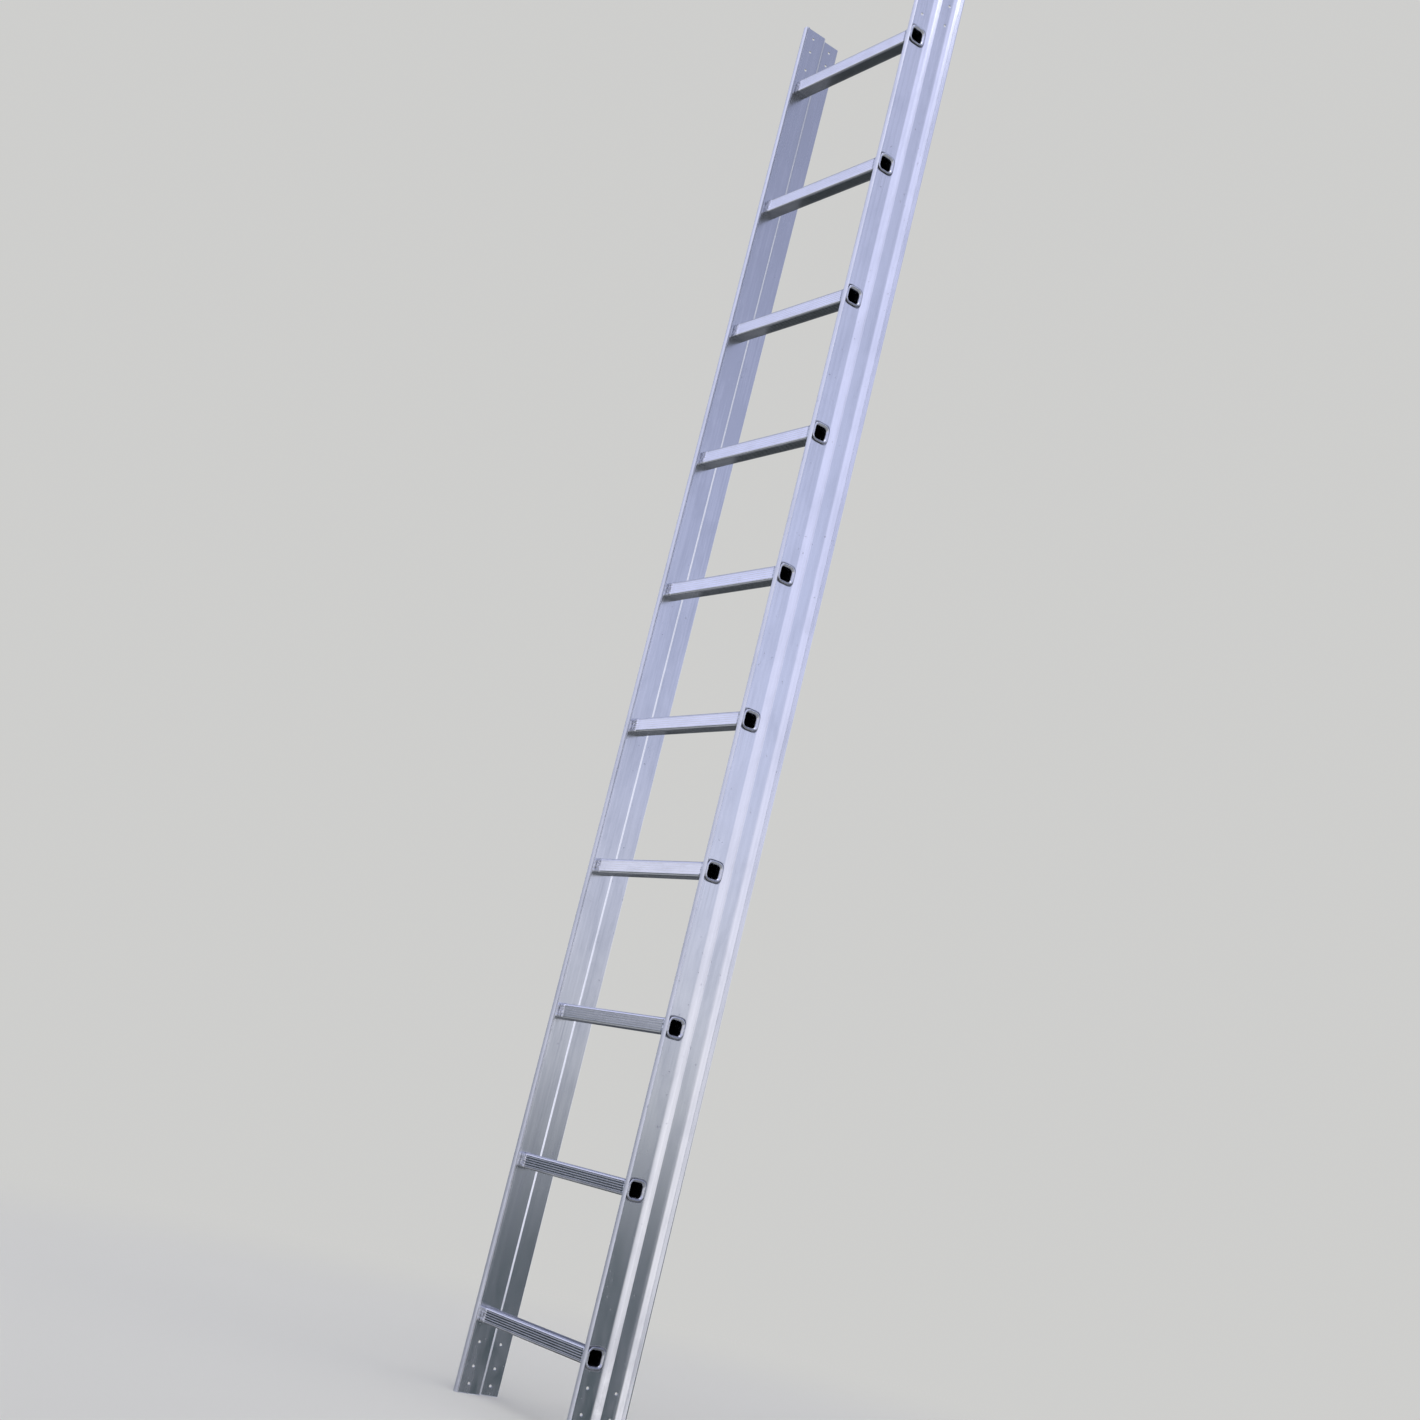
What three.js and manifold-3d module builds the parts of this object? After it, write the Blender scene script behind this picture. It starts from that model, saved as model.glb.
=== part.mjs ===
// One section of an aluminium extension ladder: two stepped channel stiles and ten swaged rungs.
// Millimetres, +Z up. X runs along the rungs, and the climber faces the -Y side.
// The origin is on the ground, under the middle of the section.

import * as THREE from "three";
import { mergeVertices } from "three/addons/utils/BufferGeometryUtils.js";
import Module from "manifold-3d";

const wasm = await Module();
wasm.setup();

// Overall sizes
const RUNG_COUNT = 10;
const RUNG_PITCH = 300;
const END_MARGIN = 150; // from the outermost rung's axis to the sawn end of the stile
const CLEAR_WIDTH = 388; // between the inner faces of the two front webs
const STILE_DEPTH = 104; // from the front face to the back face

// Stile section
const WEB_WALL = 2.5;
const FRONT_WALL = 2.6;
const FRONT_REACH = 10.5; // front flange, outward from the inner face of the front web
const REAR_WALL = 3;
const REAR_REACH = 20; // rear flange, outward from the inner face of the rear web
const STEP_RISE = 11; // how far the rear web stands outside the front web
const STEP_RUN = 5.5; // depth that the step takes
const LIP_RISE = 2.5; // lip on the inner front corner
const GROOVE_WIDTH = 2;
const BEAD_RISE = 2;
const BEAD_WIDTH = 4;
const STEP_RADIUS = 4;
const CORNER_RADIUS = 2;
const EDGE_RADIUS = 0.9;

// Rungs
const RUNG_SIZE = 30; // square, over the ribs
const RUNG_RADIUS = 4;
const RUNG_WALL = 2.2;
const RIB_COUNT = 5; // on each face
const RIB_HEIGHT = 0.9;
const RIB_TOP = 1.2;
const RIB_FOOT = 2.4;
const COLLAR_RISE = 1; // swaged collar against the inside of the web
const COLLAR_LENGTH = 20;
const FLARE_RISE = 5; // flared end against the outside of the web
const FLARE_RADIUS = 14;
const FLARE_THICKNESS = 3.2;
const MOUTH_CHAMFER = 1.8;
const SWAGE_BEVEL = 0.8; // round on the collar's and the flare's edges

// Fits and fixings
const GAP = 0.3; // clearance between a rung and its stile
const COLLAR_GAP = 1.2; // between the bead and the collar
const FLARE_TO_STEP = 8.4; // flat left on the front web behind a flared end
const HOLE_DIAMETER = 5.5; // holes for the rivets of feet, guides and hooks
const HOLES_FROM_END = [19, 52, 98];

// Worked out from the sizes above
const STILE_LENGTH = (RUNG_COUNT - 1) * RUNG_PITCH + 2 * END_MARGIN;
const COLLAR_SIZE = RUNG_SIZE + 2 * COLLAR_RISE;
const FLARE_SIZE = RUNG_SIZE + 2 * FLARE_RISE;
const BEAD_START = FRONT_WALL + GROOVE_WIDTH;
const RUNG_SETBACK = BEAD_START + BEAD_WIDTH + COLLAR_GAP + COLLAR_SIZE / 2;
const STEP_START = RUNG_SETBACK + FLARE_SIZE / 2 + FLARE_TO_STEP + WEB_WALL;
const REAR_HOLE_SETBACK = (STEP_START + STEP_RUN + STILE_DEPTH - REAR_WALL) / 2;

const CURVE_STEPS = 3;
const BEVEL_STEPS = 1;
const HOLE_SIDES = 12;

// A closed three.js geometry as a solid for joining and cutting.
function solidOf(geometry) {
  const bare = geometry.index ? geometry.toNonIndexed() : geometry.clone();
  bare.deleteAttribute("normal");
  bare.deleteAttribute("uv");
  const merged = mergeVertices(bare, 1e-4);
  return new wasm.Manifold(
    new wasm.Mesh({
      numProp: 3,
      vertProperties: merged.attributes.position.array,
      triVerts: new Uint32Array(merged.index.array),
    }),
  );
}

// A joined or cut solid as a three.js geometry.
function geometryOf(solid) {
  const mesh = solid.getMesh();
  const geometry = new THREE.BufferGeometry();
  geometry.setAttribute("position", new THREE.BufferAttribute(mesh.vertProperties, 3));
  geometry.setIndex(new THREE.BufferAttribute(mesh.triVerts, 1));
  geometry.computeVertexNormals();
  return geometry;
}

// A closed outline through corners [x, y, radius], each rounded by its radius.
function roundedOutline(corners) {
  const shape = new THREE.Shape();
  corners.forEach(([x, y, radius], index) => {
    const corner = new THREE.Vector2(x, y);
    const [beforeX, beforeY] = corners.at(index - 1);
    const [afterX, afterY] = corners[(index + 1) % corners.length];
    const before = new THREE.Vector2(beforeX, beforeY).sub(corner);
    const after = new THREE.Vector2(afterX, afterY).sub(corner);
    const cut = Math.min(radius, before.length() / 2.1, after.length() / 2.1);
    const start = corner.clone().addScaledVector(before.normalize(), cut);
    const end = corner.clone().addScaledVector(after.normalize(), cut);
    if (index === 0) shape.moveTo(start.x, start.y);
    else shape.lineTo(start.x, start.y);
    if (radius > 0) shape.quadraticCurveTo(corner.x, corner.y, end.x, end.y);
  });
  shape.closePath();
  return shape;
}

// The square's four corners, each with the same round.
function roundedSquare(size, radius) {
  const half = size / 2;
  return roundedOutline([
    [-half, -half, radius],
    [half, -half, radius],
    [half, half, radius],
    [-half, half, radius],
  ]);
}

// One ribbed face of a rung as [along, out] points, from one corner's round to the next.
function ribbedFace() {
  const flat = RUNG_SIZE - 2 * RUNG_RADIUS;
  const pitch = flat / RIB_COUNT;
  const root = RUNG_SIZE / 2 - RIB_HEIGHT;
  const points = [];
  for (let rib = 0; rib < RIB_COUNT; rib += 1) {
    const middle = -flat / 2 + (rib + 0.5) * pitch;
    points.push([middle - RIB_FOOT / 2, root]);
    points.push([middle - RIB_TOP / 2, RUNG_SIZE / 2]);
    points.push([middle + RIB_TOP / 2, RUNG_SIZE / 2]);
    points.push([middle + RIB_FOOT / 2, root]);
  }
  return points;
}

// The rung's outer section: a rounded square with ribs along all four faces.
function ribbedSquare() {
  const corners = [];
  for (let face = 0; face < 4; face += 1) {
    const turn = new THREE.Vector2();
    const place = (along, out, radius) => {
      turn.set(along, -out).rotateAround(new THREE.Vector2(), (face * Math.PI) / 2);
      corners.push([turn.x, turn.y, radius]);
    };
    for (const [along, out] of ribbedFace()) place(along, out, 0);
    place(RUNG_SIZE / 2, RUNG_SIZE / 2, RUNG_RADIUS);
  }
  return roundedOutline(corners);
}

// A section drawn in Z and Y, run along X from one place to another.
function barAlongX(shape, from, to, bevel = 0) {
  const geometry = new THREE.ExtrudeGeometry(shape, {
    depth: to - from - 2 * bevel,
    curveSegments: CURVE_STEPS,
    bevelEnabled: bevel > 0,
    bevelThickness: bevel,
    bevelSize: bevel,
    bevelOffset: -bevel,
    bevelSegments: BEVEL_STEPS,
  });
  geometry.translate(0, 0, from + bevel);
  geometry.rotateY(Math.PI / 2);
  return solidOf(geometry);
}

// A short bar at one end of a rung, between two distances from the ladder's middle.
function sleeveAlongX(shape, side, near, far, bevel) {
  return side < 0 ? barAlongX(shape, -far, -near, bevel) : barAlongX(shape, near, far, bevel);
}

// The point where two walls' outer faces meet, one wall thickness outside an inner corner.
function outsideCorner(corner, arriving, leaving, wall) {
  const first = new THREE.Vector2(arriving.y, -arriving.x).normalize();
  const second = new THREE.Vector2(leaving.y, -leaving.x).normalize();
  const scale = wall / (1 + first.dot(second));
  return corner.clone().addScaledVector(first.add(second), scale);
}

// The stile's section: x outward from the front web's inner face, y back from the front face.
function stileOutline(side) {
  const straight = new THREE.Vector2(0, 1);
  const slope = new THREE.Vector2(STEP_RISE, STEP_RUN).normalize();
  const stepFoot = new THREE.Vector2(0, STEP_START);
  const stepHead = new THREE.Vector2(STEP_RISE, STEP_START + STEP_RUN);
  const outerFoot = outsideCorner(stepFoot, straight, slope, WEB_WALL);
  const outerHead = outsideCorner(stepHead, slope, straight, WEB_WALL);
  const rearTip = STEP_RISE + REAR_REACH;
  const beadEnd = BEAD_START + BEAD_WIDTH;
  const corners = [
    [-LIP_RISE, 0, EDGE_RADIUS],
    [-LIP_RISE, FRONT_WALL, EDGE_RADIUS],
    [0, FRONT_WALL, 0],
    [0, BEAD_START, 0],
    [-BEAD_RISE, BEAD_START, BEAD_RISE],
    [-BEAD_RISE, beadEnd, BEAD_RISE],
    [0, beadEnd, 0],
    [stepFoot.x, stepFoot.y, STEP_RADIUS],
    [stepHead.x, stepHead.y, STEP_RADIUS],
    [STEP_RISE, STILE_DEPTH, CORNER_RADIUS],
    [rearTip, STILE_DEPTH, EDGE_RADIUS],
    [rearTip, STILE_DEPTH - REAR_WALL, EDGE_RADIUS],
    [STEP_RISE + WEB_WALL, STILE_DEPTH - REAR_WALL, CORNER_RADIUS],
    [outerHead.x, outerHead.y, EDGE_RADIUS],
    [outerFoot.x, outerFoot.y, STEP_RADIUS],
    [WEB_WALL, FRONT_WALL, CORNER_RADIUS],
    [FRONT_REACH, FRONT_WALL, EDGE_RADIUS],
    [FRONT_REACH, 0, EDGE_RADIUS],
  ];
  return roundedOutline(corners.map(([x, y, radius]) => [side * x, y, radius]));
}

// The height of a rung's axis, counted from the bottom.
function rungHeight(index) {
  return END_MARGIN + index * RUNG_PITCH;
}

// A round cutter through the web that starts at the given distance outward.
function rivetCutter(side, outward, setback, height) {
  const geometry = new THREE.CylinderGeometry(
    HOLE_DIAMETER / 2,
    HOLE_DIAMETER / 2,
    4 * WEB_WALL,
    HOLE_SIDES,
  );
  geometry.rotateZ(Math.PI / 2);
  geometry.translate(side * (outward + WEB_WALL / 2), setback, height);
  return solidOf(geometry);
}

// The rung's square hole through the front web.
function rungCutter(side, height) {
  const shape = roundedSquare(RUNG_SIZE + 2 * GAP, RUNG_RADIUS);
  const middle = (side * WEB_WALL) / 2;
  const cutter = barAlongX(shape, middle - 2 * WEB_WALL, middle + 2 * WEB_WALL);
  return cutter.translate(0, RUNG_SETBACK, height);
}

// A stile: the stepped channel, its rung holes and the empty rivet holes at both ends.
function stile(side) {
  const geometry = new THREE.ExtrudeGeometry(stileOutline(side), {
    depth: STILE_LENGTH,
    curveSegments: CURVE_STEPS,
    bevelEnabled: false,
  });
  let solid = solidOf(geometry);
  for (let index = 0; index < RUNG_COUNT; index += 1) {
    solid = solid.subtract(rungCutter(side, rungHeight(index)));
  }
  for (const fromEnd of HOLES_FROM_END) {
    for (const height of [fromEnd, STILE_LENGTH - fromEnd]) {
      solid = solid.subtract(rivetCutter(side, 0, RUNG_SETBACK, height));
      solid = solid.subtract(rivetCutter(side, STEP_RISE, REAR_HOLE_SETBACK, height));
    }
  }
  return geometryOf(solid);
}

// A rung: one ribbed tube with a swaged collar inside each web and a flared end outside it.
function rung() {
  const collarEnd = CLEAR_WIDTH / 2 - GAP;
  const flareStart = CLEAR_WIDTH / 2 + WEB_WALL + GAP;
  const flareEnd = flareStart + FLARE_THICKNESS;
  const bore = RUNG_SIZE - 2 * RUNG_WALL;
  const boreRadius = RUNG_RADIUS - RUNG_WALL / 2;
  const ribsEnd = collarEnd - COLLAR_LENGTH / 2;
  const neckEnd = flareStart + FLARE_THICKNESS / 2;
  let solid = barAlongX(ribbedSquare(), -ribsEnd, ribsEnd);
  const neck = roundedSquare(RUNG_SIZE, RUNG_RADIUS);
  const collar = roundedSquare(COLLAR_SIZE, RUNG_RADIUS + COLLAR_RISE);
  const flare = roundedSquare(FLARE_SIZE, FLARE_RADIUS);
  const mouth = roundedSquare(bore + 2 * MOUTH_CHAMFER, boreRadius + MOUTH_CHAMFER);
  const collarStart = collarEnd - COLLAR_LENGTH;
  const mouthStart = flareEnd - MOUTH_CHAMFER;
  const mouthEnd = flareEnd + 2 * MOUTH_CHAMFER;
  for (const side of [-1, 1]) {
    solid = solid.add(sleeveAlongX(collar, side, collarStart, collarEnd, SWAGE_BEVEL));
    solid = solid.add(sleeveAlongX(neck, side, ribsEnd, neckEnd, 0));
    solid = solid.add(sleeveAlongX(flare, side, flareStart, flareEnd, SWAGE_BEVEL));
  }
  solid = solid.subtract(barAlongX(roundedSquare(bore, boreRadius), -flareEnd - GAP, flareEnd + GAP));
  for (const side of [-1, 1]) {
    solid = solid.subtract(sleeveAlongX(mouth, side, mouthStart, mouthEnd, MOUTH_CHAMFER));
  }
  return geometryOf(solid);
}

// A named mesh with its own aluminium finish.
function piece(name, geometry, colour, roughness) {
  const material = new THREE.MeshStandardMaterial({ color: colour, roughness, metalness: 1 });
  const mesh = new THREE.Mesh(geometry, material);
  mesh.name = name;
  return mesh;
}

const STILE_COLOUR = 0xc3c7cc;
const STILE_ROUGHNESS = 0.38;
const RUNG_COLOUR = 0xb9bec4;
const RUNG_ROUGHNESS = 0.32;

const ladder = new THREE.Group();
for (const [name, side] of [["left", -1], ["right", 1]]) {
  const mesh = piece(`stile_${name}`, stile(side), STILE_COLOUR, STILE_ROUGHNESS);
  mesh.position.set((side * CLEAR_WIDTH) / 2, -STILE_DEPTH / 2, 0);
  ladder.add(mesh);
}
for (let index = 0; index < RUNG_COUNT; index += 1) {
  const number = String(index + 1).padStart(2, "0");
  const mesh = piece(`rung_${number}`, rung(), RUNG_COLOUR, RUNG_ROUGHNESS);
  mesh.position.set(0, RUNG_SETBACK - STILE_DEPTH / 2, rungHeight(index));
  ladder.add(mesh);
}

export default ladder;
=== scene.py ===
"""One section of an aluminium extension ladder: two channel stiles and ten swaged square rungs."""

import math

import bmesh
import bpy
from bpy.props import FloatProperty, FloatVectorProperty, IntProperty, PointerProperty
from mathutils import Euler, Matrix, Vector, noise


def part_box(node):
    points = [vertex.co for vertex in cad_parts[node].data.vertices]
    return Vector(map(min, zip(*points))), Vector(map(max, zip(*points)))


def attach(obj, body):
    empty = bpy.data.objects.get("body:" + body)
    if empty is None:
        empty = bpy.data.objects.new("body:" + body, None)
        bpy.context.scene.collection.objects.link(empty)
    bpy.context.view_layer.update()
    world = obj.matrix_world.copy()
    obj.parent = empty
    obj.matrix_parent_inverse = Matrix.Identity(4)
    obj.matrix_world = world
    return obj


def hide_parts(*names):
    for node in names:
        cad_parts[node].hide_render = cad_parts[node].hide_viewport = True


bl_info = {
    "name": "Ladder section",
    "version": (1, 0, 0),
    "blender": (4, 5, 0),
    "location": "3D View > Sidebar > Ladder",
    "description": "Builds one aluminium section of an extension ladder and its studio",
    "category": "Add Mesh",
}

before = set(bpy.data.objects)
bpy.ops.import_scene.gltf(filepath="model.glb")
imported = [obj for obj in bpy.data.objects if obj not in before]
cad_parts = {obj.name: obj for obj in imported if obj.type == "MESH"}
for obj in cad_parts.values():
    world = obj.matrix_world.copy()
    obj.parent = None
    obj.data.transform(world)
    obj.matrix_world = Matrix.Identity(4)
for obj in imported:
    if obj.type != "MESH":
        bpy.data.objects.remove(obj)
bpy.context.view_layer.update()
RUNG_NODES = sorted(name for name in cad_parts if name.startswith("rung_"))
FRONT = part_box("stile_right")[0][1]
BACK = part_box("stile_right")[1][1]
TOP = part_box("stile_right")[1][2]
RUNG_AXIS = sum(corner[1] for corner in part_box(RUNG_NODES[0])) / 2
RUNG_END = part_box(RUNG_NODES[0])[1][0]
FLARE_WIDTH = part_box(RUNG_NODES[0])[1][1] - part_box(RUNG_NODES[0])[0][1]
RUNG_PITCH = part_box(RUNG_NODES[1])[0][2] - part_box(RUNG_NODES[0])[0][2]
STEP_RISE = 0.011
COLLAR_SEAT = 0.1937
HOLES_FROM_END = (0.019, 0.052, 0.098)
HOLE_SIDES = 32
ROUND_CUTS = 6
RIB_CUTS = 10
CREST_CUTS = (3, 4, 5, 6)
COARSE_DENTS = 260
FINE_DENTS = 620
STILE_RELIEF = 0.0006
RUNG_RELIEF = 0.0005
FRESH_SCRATCH = (0.95, 0.95, 0.97, 1)

# Places in the list that stile_corners gives.
WEB_CORNER = 7
REAR_WEB_CORNER = 8
REAR_FLANGE_CORNER = 11

# Level directions in the studio: its bright front side, and its right rear, which lies
# straight across from the left front.
BRIGHT_X, BRIGHT_Y = 0.5, -0.866
REAR_X, REAR_Y = 0.83, 0.56
HORIZON_RISE = 0.078


def length(name, description, default):
    """A size in metres, shown in the scene's own length unit."""
    return FloatProperty(
        name=name, description=description, default=default, min=0, precision=5, unit="LENGTH"
    )


def colour(name, description, default):
    """A linear colour."""
    return FloatVectorProperty(
        name=name, description=description, default=default, size=3, min=0, max=4, subtype="COLOR"
    )


def factor(name, description, default):
    """A plain number from 0 to 1."""
    return FloatProperty(
        name=name, description=description, default=default, min=0, max=1, subtype="FACTOR"
    )


def turn(name, description, default):
    """An angle, given in degrees."""
    return FloatProperty(
        name=name, description=description, default=math.radians(default), subtype="ANGLE"
    )


class StileSettings(bpy.types.PropertyGroup):
    """Section and holes of a stile."""

    web_wall: length("Web wall", "Thickness of both webs and the step", 0.0025)
    front_wall: length("Front wall", "Thickness of the front flange", 0.0026)
    front_reach: length("Front reach", "Front flange, out from the web's inner face", 0.0105)
    rear_wall: length("Rear wall", "Thickness of the rear flange", 0.003)
    rear_reach: length("Rear reach", "Rear flange, out from the rear web's inner face", 0.02)
    lip: length("Lip", "How far the front corner's lip stands inside the web", 0.0025)
    groove: length("Groove", "Width of the groove behind the lip", 0.002)
    bead_rise: length("Bead rise", "Height of the bead behind the groove", 0.002)
    bead_width: length("Bead width", "Width of the bead behind the groove", 0.004)
    step_start: length("Step start", "Depth from the front to the step's start", 0.0567)
    step_run: length("Step run", "Depth that the step takes", 0.0055)
    step_radius: length("Step radius", "Round on the step's inner corner", 0.006)
    crown: length("Crown", "How far the front flange's face is rounded off to its edges", 0.0012)
    peak: length("Peak", "How far the crown's unrounded corner stands past the front", 0.0007)
    crown_radius: length("Crown radius", "Round along the middle of the front flange", 0.018)
    corner_radius: length("Corner radius", "Round on the outer corners", 0.0014)
    root_radius: length("Root radius", "Round in front of the rear flange", 0.013)
    foot_radius: length("Foot radius", "Round from the front web's outer face to the step", 0.015)
    edge_radius: length("Edge radius", "Round on the small edges", 0.0007)
    saw_chamfer: length("Saw chamfer", "Filed edge at the sawn ends", 0.0003)
    clearance: length("Clearance", "Room round a rung where it goes through the web", 0.0003)
    hole_radius: length("Hole radius", "Radius of the empty rivet holes", 0.00275)
    hole_chamfer: length("Hole chamfer", "Countersink at a rivet hole's edge", 0.00035)


class RungSettings(bpy.types.PropertyGroup):
    """Tube, swaged collars and flared ends of a rung."""

    width: length("Width", "Width across the ribs", 0.03)
    radius: length("Corner radius", "Round on the tube's corners", 0.004)
    wall: length("Wall", "Thickness of the tube", 0.0022)
    rib_height: length("Rib height", "Depth of the flutes between ribs", 0.0004)
    ribs: IntProperty(name="Ribs", description="Ribs on each face", default=5, min=1, max=9)
    collar_width: length("Collar width", "Width of the swaged collar", 0.032)
    collar_length: length("Collar length", "Length of the swaged collar", 0.02)
    flare_radius: length("Flare radius", "Round on the flared end's corners", 0.014)
    mouth_radius: length("Mouth radius", "Round on the bore's corners at the mouth", 0.007)
    crumple: length("Crumple", "How far the press leaves the collar uneven", 0.0007)


class FinishSettings(bpy.types.PropertyGroup):
    """Colours and gloss of the metal."""

    stile: colour("Stile", "Clean extruded aluminium of the stiles", (0.84, 0.85, 0.87))
    rung: colour("Rung", "Clean extruded aluminium of the rungs", (0.90, 0.91, 0.95))
    oxide: colour("Oxide", "Clouded, weathered aluminium", (0.56, 0.58, 0.62))
    # The grime colour also stands for painted shade round the flares, in the bores and under the
    # rungs.
    grime_and_shade: colour("Grime", "Dirt that boots and hands leave", (0.08, 0.09, 0.11))
    stile_roughness: factor("Stile roughness", "Roughness of clean stile metal", 0.2)
    rung_roughness: factor("Rung roughness", "Roughness of clean rung metal", 0.17)


class StudioSettings(bpy.types.PropertyGroup):
    """Camera, lights and floor."""

    camera: FloatVectorProperty(
        name="Camera", description="Where the camera stands", default=(3.276, -2.183, 0.504),
        size=3, subtype="TRANSLATION",
    )
    heading: turn("Heading", "Which way the camera looks, from the ladder's back", 56.207)
    pitch: turn("Pitch", "How far up the camera looks", 12.691)
    roll: turn("Roll", "How far the camera is turned about its own axis", 13.951)
    lens: FloatProperty(
        name="Lens", description="Focal length on a 36 mm sensor", default=51.05, min=10,
        unit="CAMERA",
    )
    floor: colour("Floor", "Matt floor", (0.80, 0.80, 0.79))
    backdrop: colour("Backdrop", "Plain backdrop", (0.62, 0.62, 0.61))
    low_sky: colour("Low sky", "Soft light just above the horizon", (0.60, 0.62, 0.66))
    sky: colour("Sky", "Soft light from the sides", (0.50, 0.56, 0.80))
    high_sky: colour("High sky", "Soft light from above", (0.30, 0.335, 0.49))
    ground: colour("Ground", "Light that the floor sends back", (0.42, 0.43, 0.45))
    hedge: colour("Hedge", "Dark band below the horizon at two sides", (0.020, 0.042, 0.052))
    shadow: colour("Shadow", "Dark corner, behind and to the left", (0.012, 0.022, 0.024))
    low_glow: colour("Low glow", "Low part of the studio's bright side", (0.96, 0.95, 1.0))
    high_glow: colour("High glow", "High part of the studio's bright side", (0.78, 0.81, 1.11))
    back_glow: colour("Back glow", "Bright patch straight behind the ladder", (1.3, 1.3, 1.45))


class Value:
    """An output socket of a material. Arithmetic on it adds Math nodes."""

    def __init__(self, nodes, socket):
        self.nodes, self.socket = nodes, socket

    def math(self, operation, *others):
        inputs = dict(enumerate((self, *others)))
        return self.nodes.add("ShaderNodeMath", {"operation": operation}, inputs)

    def __add__(self, other):
        return self.math("ADD", other)

    __radd__ = __add__

    def __mul__(self, other):
        return self.math("MULTIPLY", other)

    __rmul__ = __mul__

    def __sub__(self, other):
        return self.math("SUBTRACT", other)

    def __rsub__(self, other):
        return (self * -1) + other

    def __truediv__(self, other):
        return self.math("DIVIDE", other)

    def __abs__(self):
        return self.math("ABSOLUTE")

    def most(self, other):
        return self.math("MAXIMUM", other)

    def least(self, other):
        return self.math("MINIMUM", other)

    def power(self, exponent):
        return self.math("POWER", exponent)

    def part(self):
        """What is left after the whole number."""
        return self.math("FRACT")

    def ramp(self, low, high):
        """0 below low and 1 above high, with a soft change between. Low may be the larger."""
        settings = {"interpolation_type": "SMOOTHSTEP", "clamp": True}
        if low > high:
            inputs = {"Value": self * -1, "From Min": -low, "From Max": -high}
        else:
            inputs = {"Value": self, "From Min": low, "From Max": high}
        return self.nodes.add("ShaderNodeMapRange", settings, inputs)


class Nodes:
    """The nodes of one material or of the world."""

    def __init__(self, owner):
        owner.use_nodes = True
        self.tree = owner.node_tree
        self.tree.nodes.clear()

    def add(self, kind, settings=None, inputs=None, output=0):
        """Adds a node, gives it its settings, then its sockets, and returns one of its outputs."""
        node = self.tree.nodes.new(kind)
        for name, value in (settings or {}).items():
            setattr(node, name, value)
        for name, value in (inputs or {}).items():
            if isinstance(value, Value):
                self.tree.links.new(value.socket, node.inputs[name])
            else:
                node.inputs[name].default_value = value
        return Value(self, node.outputs[output]) if node.outputs else None

    def place(self):
        """The object's own coordinates: the vector and its three parts."""
        vector = self.add("ShaderNodeTexCoord", output="Object")
        split = self.add("ShaderNodeSeparateXYZ", inputs={"Vector": vector})
        parts = split.socket.node.outputs
        return vector, Value(self, parts["X"]), Value(self, parts["Y"]), Value(self, parts["Z"])

    def noise(self, vector, stretch, detail=4, roughness=0.55, distortion=0):
        """Noise from 0 to 1 with its own number of features per metre along each axis."""
        inputs = {"Vector": vector, "Scale": stretch}
        mapped = self.add("ShaderNodeMapping", {"vector_type": "POINT"}, inputs)
        settings = {"noise_dimensions": "3D"}
        inputs = {
            "Vector": mapped,
            "Scale": 1.0,
            "Detail": detail,
            "Roughness": roughness,
            "Distortion": distortion,
        }
        return self.add("ShaderNodeTexNoise", settings, inputs)

    def scratches(self, vector, turned, stretch, low, high):
        """Thin bright lines where stretched noise crosses its middle, broken by wider noise."""
        inputs = {"Vector": vector, "Rotation": turned}
        turned_vector = self.add("ShaderNodeMapping", {"vector_type": "POINT"}, inputs)
        lines = abs(self.noise(turned_vector, stretch, 1.5, 0.5) - 0.5).ramp(0.006, 0.0)
        return lines * self.noise(vector, (19, 23, 17), 2).ramp(low, high)

    def mix(self, amount, first, second):
        """Blends two colours."""
        settings = {"data_type": "RGBA", "blend_type": "MIX"}
        inputs = {0: amount, 6: first, 7: second}
        return self.add("ShaderNodeMix", settings, inputs, output=2)

    def metal(self, base, roughness, height, depth):
        """Ends a material as bare metal with a relief of the given depth in metres."""
        relief = {"Strength": 1.0, "Distance": depth, "Height": height}
        normal = self.add("ShaderNodeBump", {}, relief)
        inputs = {"Base Color": base, "Roughness": roughness, "Metallic": 1.0, "Normal": normal}
        shader = self.add("ShaderNodeBsdfPrincipled", {}, inputs)
        self.add("ShaderNodeOutputMaterial", {}, {"Surface": shader})


def solid_colour(tint):
    """The colour with the fourth number that a socket wants."""
    return (*tint, 1.0)


def from_rung_centre(y, z):
    """Distances across and up from the middle of the nearest rung."""
    return y - RUNG_AXIS, ((z / RUNG_PITCH).part() - 0.5) * RUNG_PITCH


def round_square_reach(across, up):
    """How far out a point lies on round-cornered squares about the rung's middle."""
    return (abs(across).power(4) + abs(up).power(4)).power(0.25)


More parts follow.
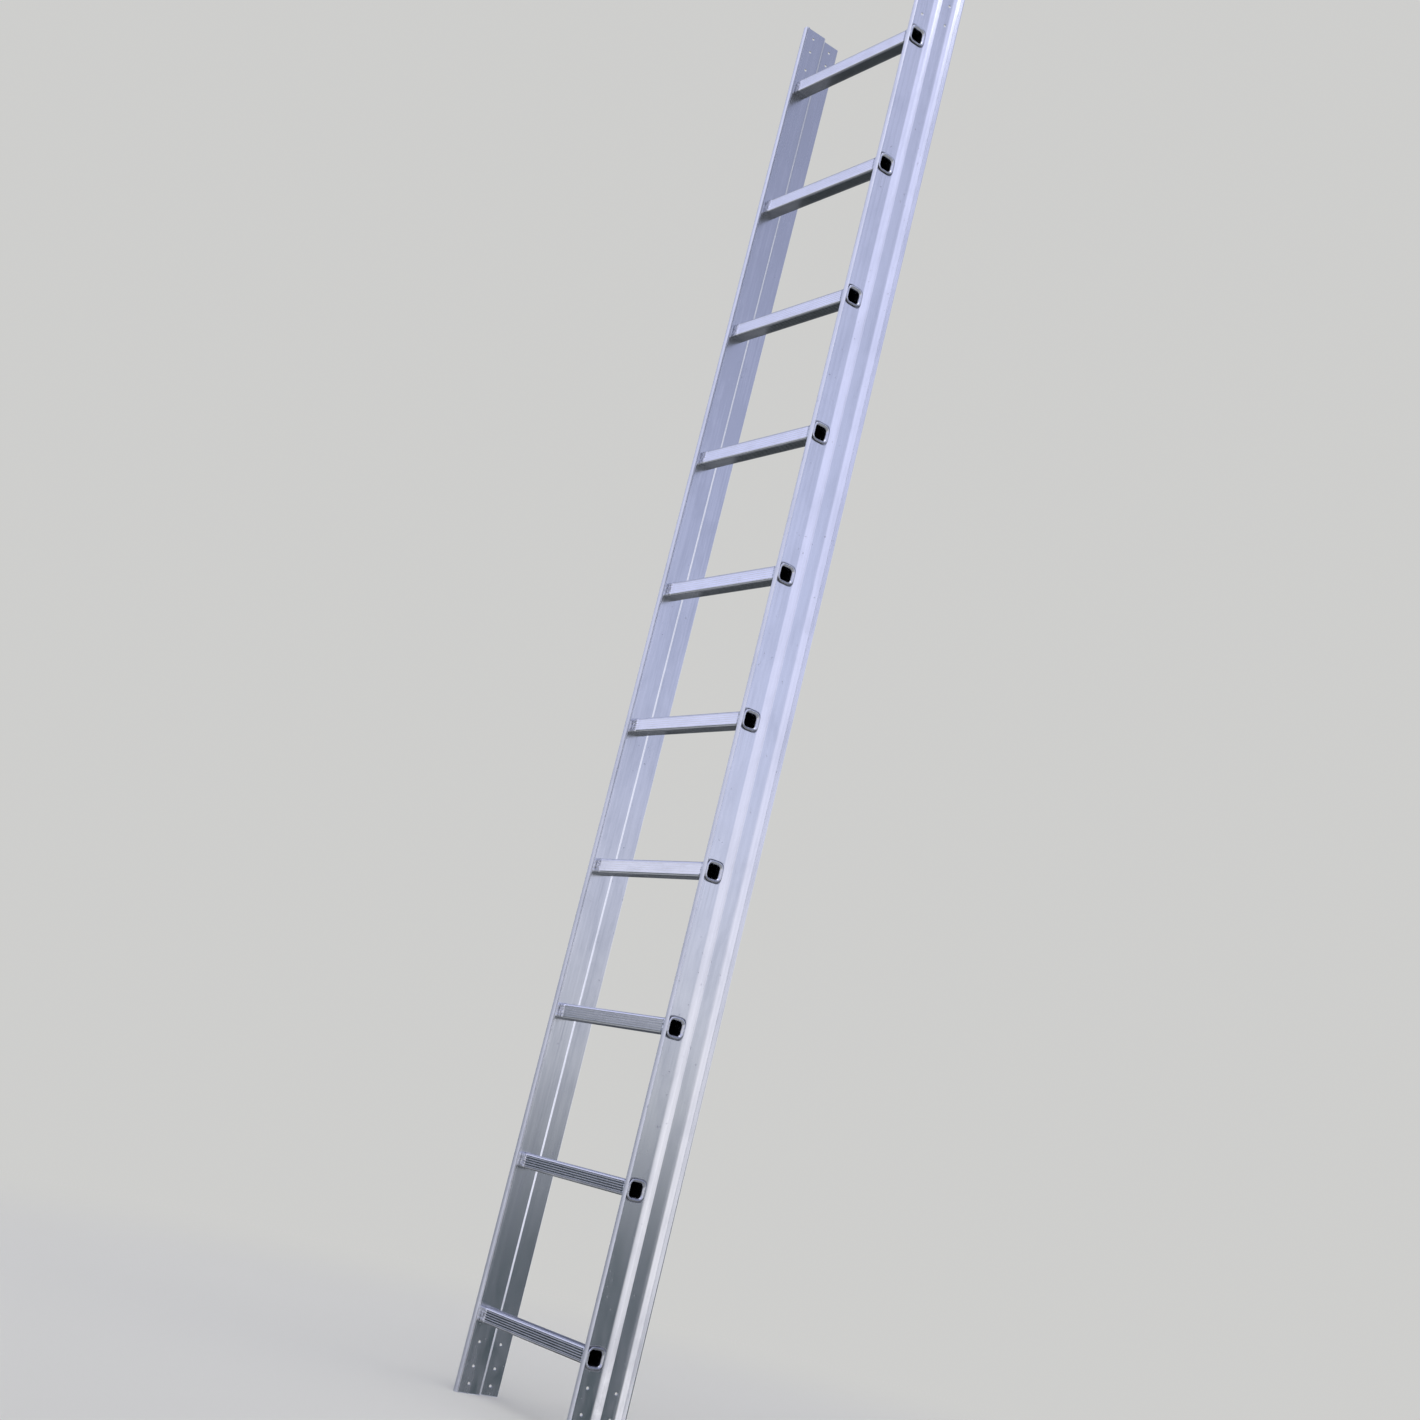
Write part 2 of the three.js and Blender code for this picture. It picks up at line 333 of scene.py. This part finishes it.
def stile_finish(finish):
    """Extruded aluminium with die lines along it, clouded, with dirt and painted shade round the
    flared ends.
    """
    material = bpy.data.materials.new("stile aluminium")
    nodes = Nodes(material)
    vector, x, y, z = nodes.place()
    die_lines = nodes.noise(vector, (1500, 1500, 0.9), 3, 0.6)
    bands = nodes.noise(vector, (190, 190, 0.35), 2, 0.5)
    clouds = nodes.noise(vector, (24, 24, 8), 5, 0.6, 0.4)
    blotches = nodes.noise(vector, (90, 90, 46), 3, 0.5)
    waves = nodes.noise(vector, (14, 14, 2.2), 2, 0.4)
    rubs = nodes.scratches(vector, (0.0, 0.0, 0.0), (900, 900, 9), 0.56, 0.66)
    slants = nodes.scratches(vector, (0.5, 0.35, 0.2), (700, 700, 16), 0.6, 0.7)
    across, up = from_rung_centre(y, z)
    reach = round_square_reach(across, up)
    outer_face = abs(x).ramp(0.1955, 0.1962)
    # Dark ring on the outer face round each flared end: dirt, and painted shade where the flare
    # meets the web.
    ring_dirt_and_shade = reach.ramp(0.0228, 0.0212) * outer_face * (0.7 + 0.3 * blotches.ramp(0.35, 0.65))
    runs = nodes.noise(vector, (420, 420, 5), 3, 0.6).ramp(0.46, 0.72)
    drip = runs * abs(across).ramp(0.021, 0.012) * up.ramp(-0.012, -0.02) * up.ramp(-0.12, -0.03)
    foot = z.ramp(0.3, 0.0) * clouds.ramp(0.4, 0.65)
    spots = nodes.noise(vector, (150, 150, 110), 2, 0.5).ramp(0.70, 0.76)
    # One mask for dirt and for the painted shade round the flared ends.
    dirt_and_shade = (0.9 * ring_dirt_and_shade).most(0.16 * drip).most(0.2 * foot).most(0.3 * spots)
    normal = nodes.add("ShaderNodeTexCoord", output="Normal")
    turned = nodes.add("ShaderNodeSeparateXYZ", {}, {"Vector": normal}, output="X")
    inner_face = (turned * x.math("SIGN")).ramp(-0.2, -0.6)
    # Faces turned to the ladder's inside are made darker, the more so the higher they stand.
    inner_darkening = inner_face * (0.3 + 0.55 * z.ramp(0.3, 2.8))
    cloudy = (clouds.ramp(0.38, 0.72) * 0.3 + bands.ramp(0.35, 0.7) * 0.2 + inner_darkening).least(1)
    # The inner faces darken further near the top.
    dirt_and_shade = dirt_and_shade.most(inner_face * z.ramp(1.4, 3.0) * 0.22)
    clean = nodes.mix(cloudy, solid_colour(finish.stile), solid_colour(finish.oxide))
    scored = (0.5 * rubs + 0.4 * slants).least(1)
    bright = nodes.mix(scored, clean, FRESH_SCRATCH)
    base = nodes.mix(dirt_and_shade, bright, solid_colour(finish.grime_and_shade))
    edges = y.ramp(FRONT + 0.0009, FRONT + 0.0003).most(y.ramp(BACK - 0.0009, BACK - 0.0003))
    roughness = finish.stile_roughness + 0.10 * (clouds - 0.5) + 0.05 * (die_lines - 0.5)
    nose = y.ramp(FRONT + 0.0045, FRONT + 0.002)
    roughness = roughness + 0.35 * dirt_and_shade + 0.30 * nose - 0.04 * edges - 0.05 * scored
    sawn = z.ramp(0.0012, 0.0004).most(z.ramp(TOP - 0.0012, TOP - 0.0004))
    saw_lines = nodes.noise(vector, (250, 2600, 40), 2, 0.6)
    height = 0.03 * die_lines + 0.03 * bands + 0.45 * waves + 0.06 * clouds
    height = height - 0.05 * scored + 0.35 * sawn * saw_lines
    nodes.metal(base, roughness + 0.18 * sawn, height, STILE_RELIEF)
    return material


def rung_finish(finish):
    """Fluted aluminium with rubbed ribs, a crushed collar and a dirty flared end, with painted
    shade in the bore, at the flare's rim and underneath.
    """
    material = bpy.data.materials.new("rung aluminium")
    nodes = Nodes(material)
    vector, x, y, z = nodes.place()
    across, up = from_rung_centre(y, z)
    reach = abs(across).most(abs(up))
    die_lines = nodes.noise(vector, (0.9, 1500, 1500), 3, 0.6)
    clouds = nodes.noise(vector, (18, 60, 60), 5, 0.6, 0.3)
    blotches = nodes.noise(vector, (210, 210, 210), 3, 0.6)
    rubs = nodes.scratches(vector, (0.0, 0.0, 0.0), (14, 900, 900), 0.5, 0.62)
    slants = nodes.scratches(vector, (0.3, 0.5, 0.4), (22, 800, 800), 0.55, 0.66)
    crest = reach.ramp(0.01465, 0.01495)
    trodden = z.ramp(0.9, 0.25)
    collar = abs(x).ramp(0.172, 0.176)
    pressed = collar * blotches.ramp(0.5, 0.6)
    rubbed = across.ramp(-0.0115, -0.0130) * up.ramp(0.0105, 0.0120) * (1 - collar)
    # Painted shade on the bore's inner wall, fading out towards each open end.
    deep = reach.ramp(0.0134, 0.0130) * abs(x).ramp(0.188, 0.178)
    curl = abs(x).ramp(0.1962, 0.197)
    # Dark line round the flare's rim where it meets the web: dirt, and painted shade in the
    # crease.
    rim = round_square_reach(across, up).ramp(0.0182, 0.0192)
    flare_rim_dirt_and_shade = curl * rim * abs(x).ramp(0.1993, 0.1986)
    flute_dirt = (1 - crest) * (0.03 + 0.35 * trodden) * (0.6 + 0.4 * clouds.ramp(0.35, 0.6))
    face_dirt = trodden * (0.55 + 0.2 * clouds.ramp(0.35, 0.65))
    face_dirt = face_dirt * (1 - collar) * (1 - 0.9 * crest)
    tread_dirt = trodden * up.ramp(0.0136, 0.0148) * (0.5 + 0.3 * clouds)
    collar_dirt = collar * blotches.ramp(0.55, 0.4) * 0.3
    curl_dirt = curl * (0.10 + 0.3 * blotches.ramp(0.4, 0.6))
    # Painted shade on the rung's underside.
    underside_shade = up.ramp(-0.0120, -0.0146) * (0.5 + 0.2 * clouds)
    # One mask for the dirt and for the painted shade in the bore, at the flare's rim and
    # underneath.
    dirt_and_shade = flute_dirt.most(face_dirt).most(tread_dirt).most(collar_dirt).most(curl_dirt)
    dirt_and_shade = dirt_and_shade.most(underside_shade).most(0.85 * flare_rim_dirt_and_shade).most(0.85 * deep) * (1 - 0.8 * rubbed)
    cloudy = clouds.ramp(0.36, 0.7) * (0.15 + 0.2 * trodden) + 0.2 * trodden
    cloudy = cloudy + 0.25 * collar - 0.3 * pressed
    clean = nodes.mix(cloudy, solid_colour(finish.rung), solid_colour(finish.oxide))
    scored = (0.5 * rubs + 0.5 * slants).most(rubbed).least(1)
    bright = nodes.mix(scored, clean, FRESH_SCRATCH)
    base = nodes.mix(dirt_and_shade, bright, solid_colour(finish.grime_and_shade))
    roughness = finish.rung_roughness + 0.08 * (clouds - 0.5) + 0.06 * dirt_and_shade + 0.08 * rubbed
    roughness = roughness + 0.22 * crest * trodden * (1 - collar)
    roughness = roughness + 0.06 * collar * blotches - 0.05 * scored
    height = 0.05 * die_lines + 0.12 * clouds + collar * blotches - 0.06 * scored
    nodes.metal(base, roughness, height, RUNG_RELIEF)
    return material


def fresh_edges(bm, before):
    """The edges that were added since the set before was taken."""
    return [edge for edge in bm.edges if edge not in before]


def square_loop(bm, x, width, radius, ribs=0, flute=0.0):
    """Adds a closed loop of edges at x: a rounded square across X, its sides fluted.

    Each rib's share of a side is cut into RIB_CUTS lengths, and the flute takes all the cuts
    but those of the crest.
    """
    before = set(bm.edges)
    half = width / 2
    signs = ((1, 1), (-1, 1), (-1, -1), (1, -1))
    corners = [bm.verts.new((x, half * a, half * b)) for a, b in signs]
    for first, second in zip(corners, corners[1:] + corners[:1]):
        bm.edges.new((first, second))
    bmesh.ops.bevel(
        bm, geom=corners, offset=radius, offset_type="OFFSET", segments=ROUND_CUTS,
        profile=0.5, affect="VERTICES", material=-1,
    )
    if ribs:
        flat = width - 2 * radius
        sides = [edge for edge in fresh_edges(bm, before) if edge.calc_length() > 0.9 * flat]
        divided = bmesh.ops.subdivide_edges(bm, edges=sides, cuts=RIB_CUTS * ribs - 1)
        for vert in divided["geom_inner"]:
            upright = abs(vert.co.y) > abs(vert.co.z)
            along = vert.co.z if upright else vert.co.y
            if round((along / flat + 0.5) * RIB_CUTS * ribs) % RIB_CUTS in CREST_CUTS:
                continue
            if upright:
                vert.co.y -= math.copysign(flute, vert.co.y)
            else:
                vert.co.z -= math.copysign(flute, vert.co.z)
    return fresh_edges(bm, before)


def round_loop(bm, x, radius, sides):
    """Adds a circle of edges at x, across X."""
    before = set(bm.edges)
    across = Matrix.Translation((x, 0, 0)) @ Matrix.Rotation(math.pi / 2, 4, "Y")
    bmesh.ops.create_circle(bm, segments=sides, radius=radius, matrix=across)
    return fresh_edges(bm, before)


def skin(bm, loops, closed=False):
    """Bridges each loop to the next, and the last to the first or both ends to caps."""
    pairs = list(zip(loops, loops[1:]))
    if closed:
        pairs.append((loops[-1], loops[0]))
    for first, second in pairs:
        bmesh.ops.bridge_loops(bm, edges=first + second)
    if not closed:
        for loop in (loops[0], loops[-1]):
            bmesh.ops.contextual_create(bm, geom=loop)
    bmesh.ops.recalc_face_normals(bm, faces=bm.faces)


def object_of(bm, name):
    """Makes an object from the bmesh and frees it."""
    mesh = bpy.data.meshes.new(name)
    bm.to_mesh(mesh)
    bm.free()
    piece = bpy.data.objects.new(name, mesh)
    bpy.context.scene.collection.objects.link(piece)
    return piece


def finish_faces(piece, material, sharp_angle):
    """Smooths the faces, keeps sharp edges and lets the broad flats rule the shading."""
    piece.data.materials.clear()
    piece.data.materials.append(material)
    piece.data.shade_smooth()
    piece.data.set_sharp_from_angle(angle=math.radians(sharp_angle))
    weighted = piece.modifiers.new("flats", "WEIGHTED_NORMAL")
    weighted.keep_sharp = True
    weighted.weight = 100


def stile_corners(settings):
    """Corners of the right stile's section, from its front, with the round of each."""
    wall = settings.web_wall
    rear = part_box("stile_right")[1][0] - settings.rear_reach
    web = rear - STEP_RISE
    depth = BACK - FRONT
    head = Vector((STEP_RISE, settings.step_start + settings.step_run))
    foot = Vector((0, settings.step_start))
    slope = (head - foot).normalized()
    outward = Vector((slope.y, -slope.x)) * wall
    outer_foot = foot + outward + slope * ((wall - outward.x) / slope.x)
    outer_head = foot + outward + slope * ((STEP_RISE + wall - outward.x) / slope.x)
    bead = settings.front_wall + settings.groove
    edge = settings.edge_radius
    corner = settings.corner_radius
    points = (
        (-settings.lip, settings.crown, corner),
        (-settings.lip, settings.front_wall, edge),
        (0, settings.front_wall, edge * 0.6),
        (0, bead, edge * 0.6),
        (-settings.bead_rise, bead, edge),
        (-settings.bead_rise, bead + settings.bead_width, edge),
        (0, bead + settings.bead_width, edge),
        (foot.x, foot.y, settings.step_radius),
        (head.x, head.y, settings.step_radius),
        (STEP_RISE, depth, corner),
        (STEP_RISE + settings.rear_reach, depth, edge),
        (STEP_RISE + settings.rear_reach, depth - settings.rear_wall, edge),
        (STEP_RISE + wall, depth - settings.rear_wall, settings.root_radius),
        (outer_head.x, outer_head.y, edge),
        (outer_foot.x, outer_foot.y, settings.foot_radius),
        (wall, settings.front_wall, corner),
        (settings.front_reach, settings.front_wall, edge),
        (settings.front_reach, settings.crown, edge),
        ((settings.front_reach - settings.lip) / 2, -settings.peak, settings.crown_radius),
    )
    return [(Vector((web + u, FRONT + v, 0)), radius) for u, v, radius in points]


def round_corners(bm, corners):
    """Rounds each corner of the section to its own radius."""
    count = len(corners)
    for index, (place, radius) in enumerate(corners):
        before = corners[index - 1][0] - place
        after = corners[(index + 1) % count][0] - place
        offset = radius / math.tan(before.angle(after) / 2)
        vert = min(bm.verts, key=lambda vert: (vert.co - place).length)
        bmesh.ops.bevel(
            bm, geom=[vert], offset=offset, offset_type="OFFSET", segments=ROUND_CUTS,
            profile=0.5, affect="VERTICES", material=-1,
        )


def hole_cutter(settings, web, y, z):
    """A drill through a web whose inner face is at x = web, countersunk at both faces."""
    bm = bmesh.new()
    radius = settings.hole_radius
    over = 0.001
    wide = radius + settings.hole_chamfer + over
    deep = settings.web_wall
    stations = (
        (-over, wide),
        (settings.hole_chamfer, radius),
        (deep - settings.hole_chamfer, radius),
        (deep + over, wide),
    )
    skin(bm, [round_loop(bm, x, size, HOLE_SIDES) for x, size in stations])
    bmesh.ops.translate(bm, verts=bm.verts, vec=(web, y, z))
    return bm


def socket_cutter(settings, rung, web, z):
    """The square opening that a rung goes through."""
    bm = bmesh.new()
    over = 0.004
    width = rung.width + 2 * settings.clearance
    radius = rung.radius + settings.clearance
    skin(bm, [square_loop(bm, x, width, radius) for x in (-over, settings.web_wall + over)])
    bmesh.ops.translate(bm, verts=bm.verts, vec=(web, RUNG_AXIS, z))
    return bm


def cut(piece, cutter):
    """Cuts one object out of another and removes it."""
    boolean = piece.modifiers.new("cut", "BOOLEAN")
    boolean.object = cutter
    boolean.operation = "DIFFERENCE"
    boolean.solver = "EXACT"
    evaluated = piece.evaluated_get(bpy.context.evaluated_depsgraph_get())
    mesh = bpy.data.meshes.new_from_object(evaluated)
    piece.modifiers.clear()
    piece.data = mesh
    bpy.data.objects.remove(cutter)


def join(bm, other):
    """Adds another bmesh to this one and frees it."""
    mesh = bpy.data.meshes.new("joining")
    other.to_mesh(mesh)
    other.free()
    bm.from_mesh(mesh)
    bpy.data.meshes.remove(mesh)


class LADDER_OT_stiles(bpy.types.Operator):
    """Builds both stiles in place of the plain ones"""

    bl_idname = "ladder.stiles"
    bl_label = "Stiles"

    def execute(self, context):
        settings = context.scene.ladder_stile
        rung = context.scene.ladder_rung
        material = stile_finish(context.scene.ladder_finish)
        corners = stile_corners(settings)
        bm = bmesh.new()
        bm.faces.new([bm.verts.new(place) for place, radius in corners])
        round_corners(bm, corners)
        section = bm.faces[:][0]
        long_way = bmesh.ops.extrude_face_region(bm, geom=[section])
        far = [item for item in long_way["geom"] if isinstance(item, bmesh.types.BMVert)]
        bmesh.ops.translate(bm, verts=far, vec=(0, 0, TOP))
        bmesh.ops.recalc_face_normals(bm, faces=bm.faces)
        ends = [edge for edge in bm.edges if edge.calc_length() < TOP / 2]
        bmesh.ops.bevel(
            bm, geom=ends, offset=settings.saw_chamfer, offset_type="OFFSET", segments=1,
            profile=0.5, affect="EDGES", material=-1,
        )
        right = object_of(bm, "right_stile")

        web = corners[WEB_CORNER][0].x
        rear_web = corners[REAR_WEB_CORNER][0].x
        rear_row = (corners[REAR_WEB_CORNER][0].y + corners[REAR_FLANGE_CORNER][0].y) / 2
        tools = bmesh.new()
        rows = [(web, RUNG_AXIS), (rear_web, rear_row)]
        for distance in HOLES_FROM_END:
            for z in (distance, TOP - distance):
                for face, y in rows:
                    join(tools, hole_cutter(settings, face, y, z))
        for name in RUNG_NODES:
            low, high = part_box(name)
            join(tools, socket_cutter(settings, rung, web, (low[2] + high[2]) / 2))
        cut(right, object_of(tools, "drills"))

        bm = bmesh.new()
        bm.from_mesh(right.data)
        bmesh.ops.scale(bm, vec=(-1, 1, 1), verts=bm.verts)
        bmesh.ops.recalc_face_normals(bm, faces=bm.faces)
        left = object_of(bm, "left_stile")
        for piece, node in ((right, "stile_right"), (left, "stile_left")):
            finish_faces(piece, material, sharp_angle=40)
            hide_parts(node)
            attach(piece, "root")
        return {"FINISHED"}


def rung_stations(settings):
    """Loops along half a rung: distance from the middle, width, corner radius, flute depth."""
    width = settings.width
    collar = settings.collar_width
    rise = collar - width
    seat = COLLAR_SEAT
    start = seat - settings.collar_length
    radius = settings.radius
    flute = settings.rib_height
    bore = width - 2 * settings.wall
    flare = FLARE_WIDTH
    big = settings.flare_radius
    mouth = settings.mouth_radius
    lip = RUNG_END
    return (
        (start - 0.0025, width, radius, flute),
        (start - 0.0005, width + 0.06 * rise, radius, flute),
        (start + 0.0012, width + 0.42 * rise, radius * 1.1, flute * 0.9),
        (start + 0.0028, width + 0.8 * rise, radius * 1.2, flute * 0.75),
        (start + 0.0045, width + 0.96 * rise, radius * 1.3, flute * 0.65),
        (start + 0.0062, collar, radius * 1.3, flute * 0.6),
        (start + 0.008, width + 0.97 * rise, radius * 1.3, flute * 0.6),
        (start + 0.0098, collar, radius * 1.3, flute * 0.6),
        (start + 0.0115, collar, radius * 1.3, flute * 0.55),
        (start + 0.013, width + 0.95 * rise, radius * 1.3, flute * 0.5),
        (start + 0.0142, width + 0.8 * rise, radius * 1.3, flute * 0.4),
        (seat, width + 0.55 * rise, radius * 1.2, flute * 0.3),
        (seat + 0.0001, width + 0.1 * rise, radius, flute * 0.2),
        (seat + 0.0003, width, radius, 0.0),
        (lip - 0.0034, width, radius, 0.0),
        (lip - 0.0032, width + 0.001, radius, 0.0),
        (lip - 0.0031, flare - 0.0045, big * 0.85, 0.0),
        (lip - 0.0028, flare - 0.0018, big * 0.95, 0.0),
        (lip - 0.0022, flare - 0.0003, big, 0.0),
        (lip - 0.0015, flare, big, 0.0),
        (lip - 0.0008, flare - 0.0006, big, 0.0),
        (lip - 0.0003, flare - 0.0020, big * 0.93, 0.0),
        (lip, flare - 0.0040, big * 0.85, 0.0),
        (lip - 0.0001, flare - 0.0062, big * 0.75, 0.0),
        (lip - 0.0005, flare - 0.0082, mouth * 1.25, 0.0),
        (lip - 0.0013, flare - 0.0102, mouth * 1.1, 0.0),
        (lip - 0.0028, flare - 0.0124, mouth, 0.0),
        (lip - 0.0045, bore + 0.0002, mouth * 0.85, 0.0),
        (lip - 0.0090, bore, mouth * 0.7, 0.0),
        (lip - 0.0180, bore, mouth * 0.5, 0.0),
    )


def crumple(bm, settings, height):
    """Leaves the marks of the press on a rung's collars, always inwards."""
    start = COLLAR_SEAT - settings.collar_length
    inside = settings.width * 0.47
    for vert in bm.verts:
        along = abs(vert.co.x)
        if not start < along < COLLAR_SEAT:
            continue
        if max(abs(vert.co.y - RUNG_AXIS), abs(vert.co.z - height)) < inside:
            continue
        fade = math.sin(math.pi * (along - start) / settings.collar_length)
        dents = noise.noise(vert.co * COARSE_DENTS) + 0.6 * noise.noise(vert.co * FINE_DENTS)
        push = (dents - 0.8) * fade
        outwards = Vector((0, vert.co.y - RUNG_AXIS, vert.co.z - height)).normalized()
        vert.co += outwards * push * settings.crumple


class LADDER_OT_rungs(bpy.types.Operator):
    """Builds the ten rungs in place of the plain ones"""

    bl_idname = "ladder.rungs"
    bl_label = "Rungs"

    def execute(self, context):
        settings = context.scene.ladder_rung
        material = rung_finish(context.scene.ladder_finish)
        stations = rung_stations(settings)
        ends = [*stations, *[(-x, *rest) for x, *rest in reversed(stations)]]
        bm = bmesh.new()
        loops = [
            square_loop(bm, x, width, radius, settings.ribs, flute)
            for x, width, radius, flute in ends
        ]
        skin(bm, loops, closed=True)
        pattern = object_of(bm, "rung_pattern")
        for number, name in enumerate(RUNG_NODES, start=1):
            low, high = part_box(name)
            bm = bmesh.new()
            bm.from_mesh(pattern.data)
            bmesh.ops.translate(bm, verts=bm.verts, vec=(0, RUNG_AXIS, (low[2] + high[2]) / 2))
            crumple(bm, settings, (low[2] + high[2]) / 2)
            rung = object_of(bm, f"ladder_rung_{number:02d}")
            finish_faces(rung, material, sharp_angle=35)
            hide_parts(name)
            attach(rung, "root")
        bpy.data.objects.remove(pattern)
        return {"FINISHED"}


def soft_panel(name, place, target, size, power, tint):
    """Hangs an oblong area light that the camera doesn't see."""
    light = bpy.data.lights.new(name, "AREA")
    light.shape = "RECTANGLE"
    light.size, light.size_y = size
    light.energy = power
    light.color = tint
    panel = bpy.data.objects.new(name, light)
    aim = (Vector(target) - Vector(place)).to_track_quat("-Z", "Y")
    panel.matrix_world = Matrix.Translation(place) @ aim.to_matrix().to_4x4()
    panel.visible_camera = False
    bpy.context.scene.collection.objects.link(panel)


COLOURS_AROUND = (
    "low_sky",
    "sky",
    "high_sky",
    "ground",
    "hedge",
    "shadow",
    "low_glow",
    "high_glow",
    "back_glow",
)


def studio_surroundings(settings):
    """Soft zones of light and dark for the metal to mirror, and a plain pale backdrop.

    Only glossy rays see the zones. The camera and the diffuse light see the backdrop.
    """
    world = bpy.data.worlds.new("studio")
    bpy.context.scene.world = world
    nodes = Nodes(world)
    vector = nodes.add("ShaderNodeTexCoord", output="Generated")
    split = nodes.add("ShaderNodeSeparateXYZ", inputs={"Vector": vector})
    parts = split.socket.node.outputs
    x, y, z = (Value(nodes, parts[name]) for name in "XYZ")
    colours = {name: solid_colour(getattr(settings, name)) for name in COLOURS_AROUND}
    bright_side = x * BRIGHT_X + y * BRIGHT_Y
    left_front = (x * -REAR_X - y * REAR_Y).ramp(0.5, 0.9)
    height = z - HORIZON_RISE * left_front
    upper = nodes.mix(z.ramp(0.02, 0.2), colours["low_sky"], colours["sky"])
    upper = nodes.mix(z.ramp(0.2, 0.55), upper, colours["high_sky"])
    level = (1 - z * z).most(0.01).power(0.5)
    right_rear = ((x * REAR_X + y * REAR_Y) / level).ramp(0.5, 0.85)
    band = z.ramp(-0.26, -0.15) * right_rear.most(left_front)
    lower = nodes.mix(band, colours["ground"], colours["hedge"])
    corner = ((y * REAR_Y - x * REAR_X) / level).ramp(0.8, 0.92)
    lower = nodes.mix(corner * z.ramp(-0.75, -0.38), lower, colours["shadow"])
    around = nodes.mix(height.ramp(-0.03, 0.025), lower, upper)
    around = nodes.mix(corner * z.ramp(0.5, 0.25), around, colours["shadow"])
    glow = nodes.mix(z.ramp(0.0, 0.3), colours["low_glow"], colours["high_glow"])
    behind = y.ramp(0.74, 0.9) * z.ramp(-0.14, -0.05) * z.ramp(0.9, 0.6)
    low_front = bright_side.ramp(-0.02, 0.8) * z.ramp(-0.3, -0.14)
    high_front = bright_side.ramp(-0.3, 0.2) * height.ramp(0.0, 0.08)
    high_front = high_front.most(0.8 * left_front * height.ramp(-0.02, 0.04) * z.ramp(0.34, 0.2))
    around = nodes.mix(low_front.most(high_front), around, glow)
    around = nodes.mix(behind, around, colours["back_glow"])
    light_path = nodes.add("ShaderNodeLightPath")
    rays = light_path.socket.node.outputs
    plainly = Value(nodes, rays["Is Camera Ray"]).most(Value(nodes, rays["Is Diffuse Ray"]))
    zones = nodes.add("ShaderNodeBackground", {}, {"Color": around, "Strength": 1.0})
    plain = {"Color": solid_colour(settings.backdrop), "Strength": 1.0}
    backdrop = nodes.add("ShaderNodeBackground", {}, plain)
    both = nodes.add("ShaderNodeMixShader", {}, {0: plainly, 1: zones, 2: backdrop})
    nodes.add("ShaderNodeOutputWorld", {}, {"Surface": both})


def floor_finish(settings):
    """Matt pale floor that fades into the backdrop."""
    material = bpy.data.materials.new("studio floor")
    nodes = Nodes(material)
    x, y = nodes.place()[1:3]
    far = (x * x + y * y).power(0.5).ramp(1.2, 3.2)
    matt = nodes.add(
        "ShaderNodeBsdfDiffuse", {}, {"Color": solid_colour(settings.floor), "Roughness": 1.0}
    )
    plain = {"Color": solid_colour(settings.backdrop), "Strength": 1.0}
    glow = nodes.add("ShaderNodeEmission", {}, plain)
    both = nodes.add("ShaderNodeMixShader", {}, {0: far, 1: matt, 2: glow})
    nodes.add("ShaderNodeOutputMaterial", {}, {"Surface": both})
    return material


class LADDER_OT_studio(bpy.types.Operator):
    """Sets up the floor, the soft lights and the camera"""

    bl_idname = "ladder.studio"
    bl_label = "Studio"

    def execute(self, context):
        settings = context.scene.ladder_studio
        bm = bmesh.new()
        bmesh.ops.create_circle(bm, cap_ends=True, segments=96, radius=9)
        floor = object_of(bm, "studio_floor")
        floor.data.materials.append(floor_finish(settings))
        floor.visible_glossy = False
        studio_surroundings(settings)
        soft_panel(
            "panel_above", place=(0.5, -1.5, 5.5), target=(0, 0, 1.5), size=(3, 3), power=40,
            tint=(1, 1, 1),
        )

        context.scene.view_settings.view_transform = "Standard"
        lens = bpy.data.cameras.new("camera")
        lens.sensor_width = 36
        lens.lens = settings.lens
        lens.clip_start = 0.05
        camera = bpy.data.objects.new("camera", lens)
        aim = Euler((math.pi / 2 + settings.pitch, 0, settings.heading)).to_matrix().to_4x4()
        spin = Matrix.Rotation(settings.roll, 4, "Z")
        camera.matrix_world = Matrix.Translation(settings.camera) @ aim @ spin
        context.scene.collection.objects.link(camera)
        context.scene.camera = camera
        return {"FINISHED"}


class LADDER_PT_section(bpy.types.Panel):
    """Lists the pieces of the ladder section"""

    bl_idname = "LADDER_PT_section"
    bl_label = "Ladder section"
    bl_space_type = "VIEW_3D"
    bl_region_type = "UI"
    bl_category = "Ladder"

    def draw(self, context):
        scene = context.scene
        groups = (
            ("Stiles", scene.ladder_stile, LADDER_OT_stiles),
            ("Rungs", scene.ladder_rung, LADDER_OT_rungs),
            ("Finish", scene.ladder_finish, None),
            ("Studio", scene.ladder_studio, LADDER_OT_studio),
        )
        for title, settings, operator in groups:
            box = self.layout.box()
            box.label(text=title)
            for name in settings.__annotations__:
                box.prop(settings, name)
            if operator:
                box.operator(operator.bl_idname)


CLASSES = (
    StileSettings,
    RungSettings,
    FinishSettings,
    StudioSettings,
    LADDER_OT_stiles,
    LADDER_OT_rungs,
    LADDER_OT_studio,
    LADDER_PT_section,
)


def register():
    for part in CLASSES:
        bpy.utils.register_class(part)
    bpy.types.Scene.ladder_stile = PointerProperty(type=StileSettings)
    bpy.types.Scene.ladder_rung = PointerProperty(type=RungSettings)
    bpy.types.Scene.ladder_finish = PointerProperty(type=FinishSettings)
    bpy.types.Scene.ladder_studio = PointerProperty(type=StudioSettings)


def unregister():
    del bpy.types.Scene.ladder_studio
    del bpy.types.Scene.ladder_finish
    del bpy.types.Scene.ladder_rung
    del bpy.types.Scene.ladder_stile
    for part in reversed(CLASSES):
        bpy.utils.unregister_class(part)


def main():
    register()
    bpy.ops.ladder.stiles()
    bpy.ops.ladder.rungs()
    bpy.ops.ladder.studio()


if __name__ == "__main__":
    main()
